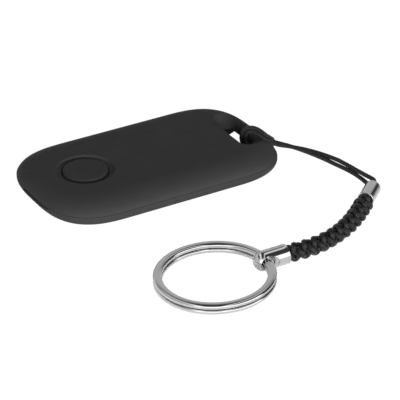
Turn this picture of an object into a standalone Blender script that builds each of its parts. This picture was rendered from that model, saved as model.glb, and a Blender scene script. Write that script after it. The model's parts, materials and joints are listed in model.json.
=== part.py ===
"""Bluetooth tracker tag on a wrist-cord key strap, modelled piece by piece at its real size.

Frame: origin on the ground under the middle of the tag, +X towards the strap end, +Y to the
tag's left, +Z up. Sizes below are in millimetres; MM turns them into Blender's metres.
"""

from math import asin, atan2, copysign, cos, pi, radians, sin

import bmesh
import bpy
from mathutils import Matrix, Vector

MM = 0.001
GAP = 0.05  # clearance between pieces that touch on the real object

# Tag housing
TAG_LENGTH = 56.2
TAG_WIDTH = 32.8
TAG_HEIGHT = 6.4
SIDE_ROUNDING = 6.0
LEFT_CORNER = 15.5
STRAP_CORNER = 14.5
CORNER_POWER = 2.8
PARTING_Z = 3.6
PARTING_GAP = 0.12
WALL = 1.15
CAVITY_LEFT = -26.9
CAVITY_RIGHT = 18.6
CAVITY_CORNER = 10.0
CEILING_Z = 5.3
COVER_FLOOR = 1.0
TRAY_INSET = 0.8
TRAY_ROUNDING = 2.4
LIP_INSET = 0.2
LIP_HEIGHT = 0.45
PRY_NOTCH_Y = (-6.6, 4.6)
PRY_NOTCH_HEIGHT = 0.55

# Strap hole and bar at the +X end
HOLE_INNER_X = 20.0
HOLE_HALF_BOTTOM = 5.0
HOLE_HALF_TOP = 7.6
BAR_INNER_X = 24.6
BAR_OUTER_X = 28.0
BAR_BOTTOM = 2.5
BAR_EDGE = 1.1
BAR_ROOT_HALF = 5.9
NOTCH_HALF_BOTTOM = 7.4
NOTCH_HALF_TOP = 6.2

# Button and its switch
BUTTON_X = -15.2
BUTTON_RADIUS = 5.0
BUTTON_HOLE_RADIUS = 5.3
BUTTON_TOP_Z = 6.2
FLANGE_RADIUS = 5.9
GROOVE_RADIUS = 6.2
GROOVE_FLOOR_Z = 5.75
SWITCH_SIDE = 5.2

# Circuit board
BOARD_BOTTOM = 2.6
BOARD_TOP = 3.4
BOARD_LEFT = -25.4
BOARD_RIGHT = 16.6
BOARD_HALF_WIDTH = 13.2
BOARD_CORNER = 8.4
BOARD_POSTS = ((-21.5, -9.6), (-21.5, 9.6), (-4.6, -11.4), (-4.6, 11.4))
POST_RADIUS = 1.1
PEG_RADIUS = 0.5
PEG_END_Z = 2.35

# Coin cell, a CR2032
CELL_X = 7.5
CELL_RADIUS = 10.0
CELL_HEIGHT = 3.2
CELL_BOTTOM = 1.25
CUTOUT_RADIUS = 10.5

# Strap: hitch on the bar, two thin cords, ferrule, braid, end cap and split ring
CORD_RADIUS = 0.42
CORD_SPREAD = 0.47
HITCH_RADIUS = 0.55
HITCH_REACH = 2.9
HITCH_CENTRE = (26.2, 3.75)
HITCH_INNER_SLACK = 0.3
HITCH_SPREAD = (-3.7, -1.9, -0.6)  # its middle, and its lean from inner to outer and low to high
CORD_START = (29.9, -6.3, 3.15)
CORD_LEADS = ((35.2, -12.9, 3.1), (37.9, -22.2, 2.9))
CORD_END = (38.5, -30.0, 2.25)
CORD_JOINT_GAP = 0.35
FERRULE_TOP = (38.1, -31.4, 2.1)
FERRULE_MOUTH = (33.15, -35.6, 2.1)
FERRULE_RADIUS = 1.75
FERRULE_BORE = 1.45
BRAID_RADIUS = 2.0
BRAID_NECK = 1.35
BRAID_TUCK = 2.2
BRAID_JOINT_GAP = 0.6
BRAID_SPLITS = (0.34, 0.67)
CAP_MOUTH = (7.4, -45.8, 2.1)
CAP_RADIUS = 2.05
CAP_BORE = 1.6
RING_OUTER = 12.5
RING_WIRE_WIDTH = 1.65
RING_WIRE_HEIGHT = 0.95
RING_COIL_GAP = 0.08
RING_CENTRE = (-9.86, -45.0)
RING_TILT = radians(2.2)
EYE_RADIUS = 1.5
EYE_TO_DOME = 1.2


# ---------------------------------------------------------------- mesh helpers


def clear_scene():
    for old in list(bpy.data.objects):
        bpy.data.objects.remove(old)


def material(name, colour, roughness, metallic=0.0):
    """One Principled material per finish, made on first use."""
    made = bpy.data.materials.get(name)
    if made is None:
        made = bpy.data.materials.new(name)
        made.use_nodes = True
        shader = made.node_tree.nodes["Principled BSDF"]
        shader.inputs["Base Color"].default_value = (*colour, 1.0)
        shader.inputs["Roughness"].default_value = roughness
        shader.inputs["Metallic"].default_value = metallic
    return made


def black_plastic():
    return material("black_plastic", (0.018, 0.018, 0.019), 0.5)


def button_plastic():
    return material("button_plastic", (0.016, 0.016, 0.017), 0.45)


def board_resin():
    return material("board_resin", (0.02, 0.10, 0.05), 0.4)


def chip_resin():
    return material("chip_resin", (0.02, 0.02, 0.022), 0.55)


def ceramic():
    return material("ceramic", (0.75, 0.72, 0.66), 0.5)


def polished_steel():
    return material("polished_steel", (0.72, 0.72, 0.73), 0.12, 1.0)


def spring_steel():
    return material("spring_steel", (0.62, 0.60, 0.55), 0.25, 1.0)


def brass():
    return material("brass", (0.78, 0.57, 0.24), 0.3, 1.0)


def nylon():
    return material("black_nylon", (0.012, 0.012, 0.013), 0.6)


def foam():
    return material("foam", (0.03, 0.03, 0.03), 0.95)


def seal_resin():
    return material("seal_resin", (0.55, 0.56, 0.58), 0.5)


def solid(name, build, finish, origin=(0, 0, 0), parent=None, smooth=30):
    """A named object whose mesh build() makes in the tag's frame, with its origin at origin."""
    mesh = bpy.data.meshes.new(name)
    work = bmesh.new()
    build(work)
    bmesh.ops.recalc_face_normals(work, faces=work.faces)
    shift = Vector(origin)
    for vertex in work.verts:
        vertex.co = (vertex.co - shift) * MM
    work.to_mesh(mesh)
    work.free()
    mesh.shade_smooth()
    mesh.set_sharp_from_angle(angle=radians(smooth))
    made = bpy.data.objects.new(name, mesh)
    bpy.context.scene.collection.objects.link(made)
    made.data.materials.append(finish)
    put(made, origin, parent)
    return made


def put(made, origin, parent):
    """Places an object by its origin, under its parent empty where it has one."""
    made.parent = parent
    made.location = Vector(origin) * MM
    if parent is not None:
        made.location -= world_of(parent)


def world_of(made):
    place = made.location.copy()
    while made.parent is not None:
        made = made.parent
        place += made.location
    return place


def pivot(name, origin, parent=None):
    """An empty on a joint's axis."""
    made = bpy.data.objects.new(name, None)
    bpy.context.scene.collection.objects.link(made)
    made.empty_display_size = 3 * MM
    put(made, origin, parent)
    return made


def boolean(target, build, operation="DIFFERENCE"):
    """Cuts or joins a helper shape, which stays out of renders."""
    helper = solid(f"{target.name}_helper_{len(target.modifiers)}", build, black_plastic())
    helper.hide_render = True
    helper.display_type = "WIRE"
    modifier = target.modifiers.new(helper.name, "BOOLEAN")
    modifier.operation = operation
    modifier.object = helper


def loft(work, rings):
    """Skins rings of equal length and caps both ends."""
    rows = [[work.verts.new(point) for point in ring] for ring in rings]
    count = len(rows[0])
    for low, high in zip(rows, rows[1:]):
        for i in range(count):
            j = (i + 1) % count
            work.faces.new((low[i], low[j], high[j], high[i]))
    work.faces.new(list(reversed(rows[0])))
    work.faces.new(rows[-1])


def closed_loft(work, rings):
    """Skins rings whose last one joins the first."""
    rows = [[work.verts.new(point) for point in ring] for ring in rings]
    count = len(rows[0])
    for low, high in zip(rows, rows[1:] + rows[:1]):
        for i in range(count):
            j = (i + 1) % count
            work.faces.new((low[i], low[j], high[j], high[i]))


def outline(x_span, y_span, radii, z, steps=8, power=2.0):
    """A rectangle at height z with its own radius at each corner, anticlockwise from +X, -Y.

    A power above 2 makes the corners superelliptic, so that they run softly into the sides.
    """
    (x_low, x_high), (y_low, y_high) = x_span, y_span
    points = []
    corners = (
        (x_high, y_low, -1, 1),
        (x_high, y_high, -1, -1),
        (x_low, y_high, 1, -1),
        (x_low, y_low, 1, 1),
    )
    for k, ((x, y, inwards_x, inwards_y), radius) in enumerate(zip(corners, radii)):
        for i in range(steps + 1):
            angle = (k - 1 + i / steps) * pi / 2
            out_x = copysign(abs(cos(angle)) ** (2 / power), cos(angle))
            out_y = copysign(abs(sin(angle)) ** (2 / power), sin(angle))
            points.append((x + radius * (inwards_x + out_x), y + radius * (inwards_y + out_y), z))
    return points


def rounded_outline(x_low, x_high, half_width, radius, z, steps=8):
    """A rounded rectangle at height z, centred on the X axis."""
    return outline((x_low, x_high), (-half_width, half_width), [radius] * 4, z, steps)


def tag_outline(inset, z):
    """The tag's plan outline, shrunk by inset."""
    half = TAG_LENGTH / 2 - inset
    wide = TAG_WIDTH / 2 - inset
    near = STRAP_CORNER - inset
    far = LEFT_CORNER - inset
    return outline((-half, half), (-wide, wide), (near, near, far, far), z, 10, CORNER_POWER)


def cavity_outline(inset, z):
    return rounded_outline(
        CAVITY_LEFT + inset,
        CAVITY_RIGHT - inset,
        TAG_WIDTH / 2 - WALL - inset,
        CAVITY_CORNER - inset,
        z,
    )


def tray_outline(inset, z):
    """The back cover's hollow, whose strap side stays upright beside the cell."""
    return rounded_outline(
        CAVITY_LEFT + TRAY_INSET + inset,
        CAVITY_RIGHT - TRAY_INSET,
        TAG_WIDTH / 2 - WALL - TRAY_INSET - inset,
        CAVITY_CORNER - TRAY_INSET - inset,
        z,
    )


def circle(x, y, z, radius, count=32):
    return [
        (x + radius * cos(2 * pi * i / count), y + radius * sin(2 * pi * i / count), z)
        for i in range(count)
    ]


def turned(x, y, profile, count=32):
    """A solid of revolution about the vertical through (x, y); profile is (radius, z) upwards."""

    def build(work):
        loft(work, [circle(x, y, z, radius, count) for radius, z in profile])

    return build


def turned_ring(x, y, profile, count=32):
    """A ring whose closed (radius, z) profile never meets its axis."""

    def build(work):
        columns = []
        for i in range(count):
            angle = 2 * pi * i / count
            columns.append([(x + r * cos(angle), y + r * sin(angle), z) for r, z in profile])
        closed_loft(work, columns)

    return build


def block(low, high, edge=0.0):
    """A box between two corners, with its upright edges chamfered by edge."""

    def build(work):
        (x0, y0, z0), (x1, y1, z1) = low, high
        if edge:
            plan = [
                (x0 + edge, y0), (x1 - edge, y0), (x1, y0 + edge), (x1, y1 - edge),
                (x1 - edge, y1), (x0 + edge, y1), (x0, y1 - edge), (x0, y0 + edge),
            ]
        else:
            plan = [(x0, y0), (x1, y0), (x1, y1), (x0, y1)]
        loft(work, [[(x, y, z) for x, y in plan] for z in (z0, z1)])

    return build


def bezier(start, lead_in, lead_out, end, count):
    """Points along a cubic curve, both ends included."""
    p = [Vector(point) for point in (start, lead_in, lead_out, end)]
    points = []
    for i in range(count + 1):
        t = i / count
        s = 1 - t
        points.append(s**3 * p[0] + 3 * s * s * t * p[1] + 3 * s * t * t * p[2] + t**3 * p[3])
    return points


def frames(points):
    """(point, side, up) along a path that stays near level, for sweeping a section."""
    found = []
    last = len(points) - 1
    for i, point in enumerate(points):
        along = (points[min(i + 1, last)] - points[max(i - 1, 0)]).normalized()
        side = along.cross(Vector((0, 0, 1))).normalized()
        found.append((point, side, side.cross(along)))
    return found


def tube(path, radii, count=14):
    """A round bar swept along path, its radius given at each point."""

    def build(work):
        rings = []
        for (point, side, up), radius in zip(frames(path), radii):
            ring = []
            for i in range(count):
                angle = 2 * pi * i / count
                ring.append(point + radius * (cos(angle) * side + sin(angle) * up))
            rings.append(ring)
        loft(work, rings)

    return build


def axial(start, end, profile, count=24):
    """A turned solid along the line start to end; profile is (distance along it, radius)."""

    def build(work):
        origin = Vector(start)
        along = (Vector(end) - origin).normalized()
        side = along.cross(Vector((0, 0, 1))).normalized()
        up = side.cross(along)
        rings = []
        for distance, radius in profile:
            ring = []
            for i in range(count):
                angle = 2 * pi * i / count
                centre = origin + distance * along
                ring.append(centre + radius * (cos(angle) * side + sin(angle) * up))
            rings.append(ring)
        loft(work, rings)

    return build


# ---------------------------------------------------------------- housing


def side_rings(low, high, steps):
    """The tag's outlines between two heights; its side is half an ellipse, widest half-way up."""
    half = TAG_HEIGHT / 2
    start = asin(low / half - 1)
    end = asin(high / half - 1)
    rings = []
    for i in range(steps + 1):
        angle = start + (end - start) * i / steps
        rings.append(tag_outline(SIDE_ROUNDING * (1 - cos(angle)), half + half * sin(angle)))
    return rings


def quarter_rings(plan, rounding, rise, base_z, steps):
    """Outlines from the widest section upwards (or downwards) along a quarter ellipse."""
    rings = []
    for i in range(steps + 1):
        angle = i * pi / 2 / steps
        rings.append(plan(rounding * (1 - cos(angle)), base_z + rise * sin(angle)))
    return rings


def upper_shell():
    def outer(work):
        loft(work, side_rings(PARTING_Z, TAG_HEIGHT, 9))

    def cavity(work):
        start = cavity_outline(0, PARTING_Z - 0.5)
        rise = CEILING_Z - PARTING_Z
        rings = quarter_rings(cavity_outline, SIDE_ROUNDING - WALL, rise, PARTING_Z, 6)
        loft(work, [start] + rings)

    shell = solid("upper_shell", outer, black_plastic())
    boolean(shell, cavity)
    boolean(shell, strap_hole)
    boolean(shell, bar_root, "UNION")
    boolean(shell, turned(BUTTON_X, 0, button_opening_profile()))
    for x, y in BOARD_POSTS:
        boolean(shell, turned(x, y, post_profile(), 12), "UNION")


def post_profile():
    """A post that stands on the board, with a heat-stake peg through it."""
    return (
        (PEG_RADIUS, PEG_END_Z),
        (PEG_RADIUS, BOARD_TOP + GAP),
        (POST_RADIUS, BOARD_TOP + GAP),
        (POST_RADIUS, CEILING_Z + 0.15),
    )


def button_opening_profile():
    return (
        (BUTTON_HOLE_RADIUS, CEILING_Z - 1),
        (BUTTON_HOLE_RADIUS, GROOVE_FLOOR_Z),
        (BUTTON_HOLE_RADIUS + 0.35, GROOVE_FLOOR_Z + 0.12),
        (GROOVE_RADIUS, TAG_HEIGHT),
        (GROOVE_RADIUS + 0.5, TAG_HEIGHT + 0.5),
    )


def strap_hole(work):
    """A slot rounded over the bar, which opens out towards the top and is scooped at its far end."""
    sections = (
        (PARTING_Z - 1.0, 0.0, HOLE_HALF_BOTTOM, 2.4),
        (PARTING_Z, 0.0, HOLE_HALF_BOTTOM, 2.4),
        (4.4, 0.05, 5.7, 2.8),
        (5.0, 0.3, 6.3, 3.3),
        (5.5, 0.7, 6.9, 3.9),
        (5.9, 1.4, 7.3, 4.4),
        (TAG_HEIGHT + 0.1, 1.8, HOLE_HALF_TOP, 4.9),
        (TAG_HEIGHT + 1.0, 1.8, HOLE_HALF_TOP, 4.9),
    )
    rings = []
    for z, beyond, half, scoop in sections:
        x_span = (HOLE_INNER_X, BAR_INNER_X + beyond)
        rings.append(outline(x_span, (-half, half), (1.0, 1.0, scoop, 1.9), z, 5))
    loft(work, rings)


def bar_root(work):
    """The bar's lower half, which stands in the back cover's notch."""
    ring = [(BAR_OUTER_X - 0.2, PARTING_Z + 0.3), (BAR_INNER_X + 0.2, PARTING_Z + 0.3)]
    ring.append((BAR_INNER_X, PARTING_Z))
    for centre, start in ((BAR_INNER_X + BAR_EDGE, pi), (BAR_OUTER_X - BAR_EDGE, pi * 3 / 2)):
        for i in range(6):
            angle = start + i * pi / 10
            x = centre + BAR_EDGE * cos(angle)
            ring.append((x, BAR_BOTTOM + BAR_EDGE * (1 + sin(angle))))
    ring.append((BAR_OUTER_X, PARTING_Z))
    loft(work, [[(x, y, z) for x, z in ring] for y in (-BAR_ROOT_HALF, BAR_ROOT_HALF)])


def back_cover(parent):
    top = PARTING_Z - PARTING_GAP

    def outer(work):
        loft(work, side_rings(0.0, top, 10))

    def tray(work):
        rings = quarter_rings(tray_outline, TRAY_ROUNDING, COVER_FLOOR - top, top, 5)
        loft(work, list(reversed(rings)) + [tray_outline(0, top + 1)])

    def lip(work):
        loft(work, [cavity_outline(LIP_INSET, z) for z in (top - 0.6, top + LIP_HEIGHT)])

    def bar_notch(work):
        inner = HOLE_INNER_X - 0.3
        rings = []
        for z in (-1.0, 5.0):
            half = NOTCH_HALF_BOTTOM + (NOTCH_HALF_TOP - NOTCH_HALF_BOTTOM) * z / PARTING_Z
            corners = ((inner, -half), (TAG_LENGTH, -half), (TAG_LENGTH, half), (inner, half))
            rings.append([(x, y, z) for x, y in corners])
        loft(work, rings)

    def pry_notch(work):
        rings = []
        end = -TAG_LENGTH / 2
        for z, depth in ((top - PRY_NOTCH_HEIGHT, 0.5), (top - 0.2, 0.9), (top + 1, 0.9)):
            rings.append(outline((end - 2, end + depth), PRY_NOTCH_Y, [0.4] * 4, z, 3))
        loft(work, rings)

    cover = solid("back_cover", outer, black_plastic(), (0, 0, 0), parent)
    boolean(cover, lip, "UNION")
    boolean(cover, tray)
    boolean(cover, bar_notch)
    boolean(cover, pry_notch)
    pad_z = COVER_FLOOR + GAP / 2
    pad = turned(CELL_X, 0, ((8.0, pad_z), (8.0, CELL_BOTTOM - GAP)), 32)
    solid("cell_pad", pad, foam(), (CELL_X, 0, pad_z), parent)


# ---------------------------------------------------------------- button


def button(parent):
    rest = (BUTTON_X, 0, BUTTON_TOP_Z)
    flange_top = CEILING_Z - 0.1
    flange_bottom = flange_top - 0.35
    profile = (
        (1.5, flange_bottom - 0.35),
        (1.5, flange_bottom),
        (FLANGE_RADIUS, flange_bottom),
        (FLANGE_RADIUS, flange_top),
        (BUTTON_RADIUS, flange_top),
        (BUTTON_RADIUS, BUTTON_TOP_Z - 0.35),
        (BUTTON_RADIUS - 0.12, BUTTON_TOP_Z - 0.1),
        (BUTTON_RADIUS - 0.4, BUTTON_TOP_Z),
        (BUTTON_RADIUS - 1.2, BUTTON_TOP_Z - 0.08),
        (0.6, BUTTON_TOP_Z - 0.2),
    )
    solid("button_cap", turned(BUTTON_X, 0, profile, 40), button_plastic(), rest, parent)
    stem_top = flange_bottom - 0.35 - GAP
    stem = turned(BUTTON_X, 0, ((1.15, BOARD_TOP + 0.6), (1.15, stem_top)), 16)
    solid("switch_stem", stem, button_plastic(), rest, parent)


def switch_base():
    half = SWITCH_SIDE / 2
    low = BOARD_TOP + GAP
    high = BOARD_TOP + 0.72
    body = block((BUTTON_X - half, -half, low), (BUTTON_X + half, half, high), 0.5)
    base = solid("switch_base", body, spring_steel())
    well = turned(BUTTON_X, 0, ((1.35, BOARD_TOP + 0.22), (1.35, high + 1)), 16)
    boolean(base, well)


# ---------------------------------------------------------------- electronics


def circuit_board():
    def plate(work):
        rings = []
        for z in (BOARD_BOTTOM, BOARD_TOP):
            rings.append(
                rounded_outline(BOARD_LEFT, BOARD_RIGHT, BOARD_HALF_WIDTH, BOARD_CORNER, z)
            )
        loft(work, rings)

    board = solid("circuit_board", plate, board_resin())
    boolean(board, turned(CELL_X, 0, ((CUTOUT_RADIUS, 0), (CUTOUT_RADIUS, 6)), 48))
    for x, y in BOARD_POSTS:
        boolean(board, turned(x, y, ((PEG_RADIUS + 0.1, 0), (PEG_RADIUS + 0.1, 6)), 12))


def surface_part(name, x, y, size, finish):
    """A part soldered on the board's upper face."""
    length, width, height = size
    low = (x - length / 2, y - width / 2, BOARD_TOP + GAP)
    high = (x + length / 2, y + width / 2, BOARD_TOP + GAP + height)
    return solid(name, block(low, high, 0.1), finish)


def board_parts():
    surface_part("bluetooth_chip", -6.9, 6.2, (5.0, 5.0, 0.8), chip_resin())
    surface_part("main_crystal", -6.9, -3.9, (2.5, 3.2, 0.7), spring_steel())
    surface_part("clock_crystal", -6.9, -7.6, (3.2, 1.5, 0.75), spring_steel())
    surface_part("chip_antenna", -23.3, 0.0, (2.0, 7.0, 0.85), ceramic())
    surface_part("status_led", -20.2, 4.6, (1.6, 0.9, 0.5), ceramic())
    surface_part("antenna_inductor", -20.6, -2.6, (0.9, 1.5, 0.6), chip_resin())
    surface_part("supply_capacitor", -6.9, 10.2, (2.0, 1.25, 0.8), ceramic())
    surface_part("filter_capacitor", -10.4, 9.6, (1.5, 0.9, 0.6), ceramic())
    surface_part("buzzer_inductor", -10.6, -9.2, (2.4, 2.4, 0.75), chip_resin())


def coin_cell(parent):
    """The cell's can, its sealing ring and the smaller cap, which faces up."""
    low = CELL_BOTTOM
    high = CELL_BOTTOM + CELL_HEIGHT
    rest = (CELL_X, 0, low)
    can = (
        (CELL_RADIUS - 0.35, low),
        (CELL_RADIUS, low + 0.35),
        (CELL_RADIUS, high - 0.75),
        (CELL_RADIUS - 0.15, high - 0.6),
        (CELL_RADIUS - 0.9, high - 0.6),
    )
    solid("cell_can", turned(CELL_X, 0, can, 48), polished_steel(), rest, parent)
    ring_low = high - 0.6 + GAP
    seal = (
        (CELL_RADIUS - 1.0, ring_low),
        (CELL_RADIUS - 0.5, ring_low),
        (CELL_RADIUS - 0.5, high - 0.35),
        (CELL_RADIUS - 1.0, high - 0.35),
    )
    solid("cell_seal", turned_ring(CELL_X, 0, seal, 40), seal_resin(), rest, parent)
    cap_radius = CELL_RADIUS - 1.0 - GAP
    cap = ((cap_radius, ring_low), (cap_radius, high - 0.15), (cap_radius - 0.3, high))
    solid("cell_cap", turned(CELL_X, 0, cap, 40), spring_steel(), rest, parent)


def contacts():
    """Sprung fingers soldered to the board: one reaches over the cell, one grips its side."""
    foot = BOARD_TOP + GAP
    strip = 0.15
    over = CELL_BOTTOM + CELL_HEIGHT + GAP
    side = [
        (-5.6, foot), (-3.55, foot), (-3.55, over), (CELL_X, over),
        (CELL_X, over + strip), (-3.7, over + strip), (-3.7, foot + strip), (-5.6, foot + strip),
    ]

    def finger(work):
        loft(work, [[(x, y, z) for x, z in side] for y in (-1.6, 1.6)])

    solid("negative_contact", finger, spring_steel())
    grip = CELL_RADIUS + 0.1
    bend = [
        (grip, 2.1), (grip, foot + 0.3), (12.2, foot + 0.3), (12.2, foot),
        (grip + strip, foot), (grip + strip, 2.1),
    ]

    def clip(work):
        loft(work, [[(x, y, z) for y, z in bend] for x in (CELL_X - 2, CELL_X + 2)])

    solid("positive_contact", clip, spring_steel())


def buzzer():
    plate_top = CEILING_Z - GAP
    plate_low = plate_top - 0.2
    plate = turned(CELL_X, 0, ((7.0, plate_low), (7.0, plate_top)), 36)
    solid("buzzer_plate", plate, brass())
    wafer_top = plate_low - GAP / 2
    wafer = turned(CELL_X, 0, ((4.8, wafer_top - 0.15), (4.8, wafer_top)), 28)
    solid("buzzer_ceramic", wafer, ceramic())
    for name, y in (("buzzer_lead_near", -3.2), ("buzzer_lead_far", 3.2)):
        start = (0.55, y, plate_low - 0.12)
        end = (-4.4, y * 0.9, BOARD_TOP + 0.32)
        path = bezier(start, (-1.4, y, plate_low - 0.12), (-2.6, y, BOARD_TOP + 0.5), end, 8)
        solid(name, tube(path, [0.16] * len(path), 8), nylon())


# ---------------------------------------------------------------- strap


def hitch():
    """The cord's loop round the bar, slack on the bar's inner side and leaning across it."""
    middle, lean_out, lean_up = HITCH_SPREAD
    steps = 28
    sides = 10

    def build(work):
        columns = []
        for i in range(steps):
            angle = 2 * pi * i / steps
            out = Vector((cos(angle), 0, sin(angle)))
            inner = HITCH_INNER_SLACK * max(-cos(angle), 0) ** 2
            y = middle + lean_out * cos(angle) + lean_up * sin(angle)
            centre = Vector((HITCH_CENTRE[0] - inner, y, HITCH_CENTRE[1])) + HITCH_REACH * out
            ring = []
            for j in range(sides):
                turn = 2 * pi * j / sides
                ring.append(centre + HITCH_RADIUS * (cos(turn) * out + Vector((0, sin(turn), 0))))
            columns.append(ring)
        closed_loft(work, columns)

    solid("cord_hitch", build, nylon())


def cord_path(count=20):
    return bezier(CORD_START, *CORD_LEADS, CORD_END, count)


def trimmed(path, pivot_point, gap, keep_before):
    """The part of a path on one side of a joint, ending gap short of it."""
    centre = Vector(pivot_point)
    nearest = min(range(len(path)), key=lambda i: (path[i] - centre).length)
    along = (path[nearest + 1] - path[nearest - 1]).normalized()
    kept = []
    for point in path:
        ahead = (point - centre).dot(along)
        if (keep_before and ahead < -gap) or (not keep_before and ahead > gap):
            kept.append(point)
    end = path_at(path, centre, along, -gap if keep_before else gap)
    return kept + [end] if keep_before else [end] + kept


def path_at(path, centre, along, ahead):
    """Where a path crosses the plane that lies ahead of centre."""
    for before, after in zip(path, path[1:]):
        a = (before - centre).dot(along) - ahead
        b = (after - centre).dot(along) - ahead
        if a <= 0 < b:
            return before.lerp(after, -a / (b - a))
    raise ValueError("the path never reaches the joint")


def strand(path, offset):
    """A path moved sideways, for one of two cords that run together."""
    moved = []
    for point, side, _ in frames(path):
        moved.append(point + offset * side)
    return moved


def cords(upper, lower):
    path = cord_path()
    bend = path_point(path, 0.5)
    halves = (
        ("upper", trimmed(path, bend, CORD_JOINT_GAP, True), upper, CORD_START),
        ("lower", trimmed(path, bend, CORD_JOINT_GAP, False), lower, bend),
    )
    for part, half, parent, origin in halves:
        for name, offset in (("near", CORD_SPREAD), ("far", -CORD_SPREAD)):
            run = strand(half, offset)
            build = tube(run, [CORD_RADIUS] * len(run), 10)
            solid(f"cord_{part}_{name}", build, nylon(), origin, parent)


def path_point(path, share):
    """The point a share of the way along a path's length."""
    lengths = [(b - a).length for a, b in zip(path, path[1:])]
    goal = share * sum(lengths)
    for (a, b), length in zip(zip(path, path[1:]), lengths):
        if goal <= length:
            return a.lerp(b, goal / length)
        goal -= length
    return path[-1]


def ferrule(parent, origin):
    length = (Vector(FERRULE_MOUTH) - Vector(FERRULE_TOP)).length
    profile = (
        (0.0, FERRULE_RADIUS - 0.75),
        (0.25, FERRULE_RADIUS - 0.3),
        (0.7, FERRULE_RADIUS),
        (length, FERRULE_RADIUS),
    )
    sleeve = solid(
        "cord_ferrule", axial(FERRULE_TOP, FERRULE_MOUTH, profile), polished_steel(), origin, parent
    )
    bore = ((1.0, FERRULE_BORE), (length + 1, FERRULE_BORE))
    boolean(sleeve, axial(FERRULE_TOP, FERRULE_MOUTH, bore))
    boolean(sleeve, axial(FERRULE_TOP, FERRULE_MOUTH, ((-1, 0.6), (2, 0.6)), 12))


def braid_path(count=36):
    """The braid's centre line, from the ferrule's mouth to the end cap's."""
    along = (Vector(FERRULE_MOUTH) - Vector(FERRULE_TOP)).normalized()
    lead_in = Vector(FERRULE_MOUTH) + 11.0 * along
    lead_out = Vector(CAP_MOUTH) + Vector((10.0, -1.1, 0))
    return bezier(FERRULE_MOUTH, lead_in, lead_out, CAP_MOUTH, count)


def braid(upper, middle, lower, splits):
    path = braid_path()
    first = trimmed(path, splits[0], BRAID_JOINT_GAP, True)
    rest = trimmed(path, splits[0], BRAID_JOINT_GAP, False)
    second = trimmed(rest, splits[1], BRAID_JOINT_GAP, True)
    third = trimmed(rest, splits[1], BRAID_JOINT_GAP, False)
    along_in = (Vector(FERRULE_TOP) - Vector(FERRULE_MOUTH)).normalized()
    along_out = cap_axis()
    first = tucked(FERRULE_MOUTH, along_in) + first[2:]
    third = third[:-2] + list(reversed(tucked(CAP_MOUTH, along_out)))
    first_radii = [BRAID_NECK, BRAID_NECK] + [BRAID_RADIUS] * (len(first) - 2)
    third_radii = [BRAID_RADIUS] * (len(third) - 2) + [BRAID_NECK, BRAID_NECK]
    second_radii = [BRAID_RADIUS] * len(second)
    solid("braid_upper", tube(first, first_radii), nylon(), upper[1], upper[0])
    solid("braid_middle", tube(second, second_radii), nylon(), splits[0], middle)
    solid("braid_lower", tube(third, third_radii), nylon(), splits[1], lower)


def tucked(mouth, inwards):
    """The necked end of the braid inside a sleeve, then its shoulder just outside the mouth."""
    return [Vector(mouth) + ahead * inwards for ahead in (BRAID_TUCK, -0.15, -0.2)]


def eye_centre():
    """Where the ring's wire crosses the end cap, on the ring's mean radius."""
    mean = RING_OUTER - RING_WIRE_WIDTH / 2
    toward = Vector((CAP_MOUTH[0] - RING_CENTRE[0], CAP_MOUTH[1] - RING_CENTRE[1], 0))
    toward.normalize()
    height = 0.5 * (2 * RING_WIRE_HEIGHT + RING_COIL_GAP)
    rise = (RING_OUTER + mean) * sin(RING_TILT)
    return Vector((*RING_CENTRE, height + rise)) + mean * toward


def cap_axis():
    return (eye_centre() - Vector(CAP_MOUTH)).normalized()


def end_cap(parent, origin):
    """A domed sleeve with the ring's eye drilled across its closed end."""
    eye = eye_centre()
    reach = (eye - Vector(CAP_MOUTH)).length
    dome = reach + EYE_TO_DOME
    profile = [(0.0, CAP_RADIUS)]
    for i in range(6):
        angle = i * pi / 2 / 6
        profile.append((dome + CAP_RADIUS * sin(angle), CAP_RADIUS * cos(angle)))
    profile.append((dome + CAP_RADIUS * 0.995, 0.25))
    made = solid("end_cap", axial(CAP_MOUTH, eye, profile), polished_steel(), origin, parent)
    boolean(made, axial(CAP_MOUTH, eye, ((-1, CAP_BORE), (reach - EYE_RADIUS - 0.5, CAP_BORE))))
    across = cap_axis().cross(Vector((0, 0, 1))).normalized()
    boolean(made, axial(eye - 4 * across, eye + 4 * across, ((0, EYE_RADIUS), (8, EYE_RADIUS)), 20))


def split_ring(parent, origin):
    """Two flat turns of one wire; it steps up from the lower to the upper at the crossover."""
    pitch = RING_WIRE_HEIGHT + RING_COIL_GAP
    ramp = radians(17)
    mean = RING_OUTER - RING_WIRE_WIDTH / 2
    edge = 0.22
    half_w = RING_WIRE_WIDTH / 2
    half_h = RING_WIRE_HEIGHT / 2
    section = (
        (-half_w, -half_h + edge), (-half_w + edge, -half_h), (half_w - edge, -half_h),
        (half_w, -half_h + edge), (half_w, half_h - edge), (half_w - edge, half_h),
        (-half_w + edge, half_h), (-half_w, half_h - edge),
    )

    def height(turned_by):
        """Level on each turn, with a smooth ramp centred on the first full turn."""
        share = min(max((turned_by - 2 * pi + ramp / 2) / ramp, 0.0), 1.0)
        return pitch * (share * share * (3 - 2 * share) - 0.5)

    toward = eye_centre() - Vector((*RING_CENTRE, 0))
    heading = atan2(toward.y, toward.x)
    centre_z = RING_WIRE_HEIGHT + RING_COIL_GAP / 2 + RING_OUTER * sin(RING_TILT)
    tilt_axis = Vector((sin(heading), -cos(heading), 0))
    place = Matrix.Translation((*RING_CENTRE, centre_z)) @ Matrix.Rotation(RING_TILT, 4, tilt_axis)

    def build(work):
        first = ramp * 0.75
        last = 4 * pi - ramp * 0.75
        steps = 112
        rings = []
        for i in range(steps + 1):
            turned_by = first + (last - first) * i / steps
            angle = heading + turned_by
            ring = []
            for r, z in section:
                radius = mean + r
                level = height(turned_by) + z
                ring.append(place @ Vector((radius * cos(angle), radius * sin(angle), level)))
            rings.append(ring)
        loft(work, rings)

    solid("split_ring", build, polished_steel(), origin, parent)


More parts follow.
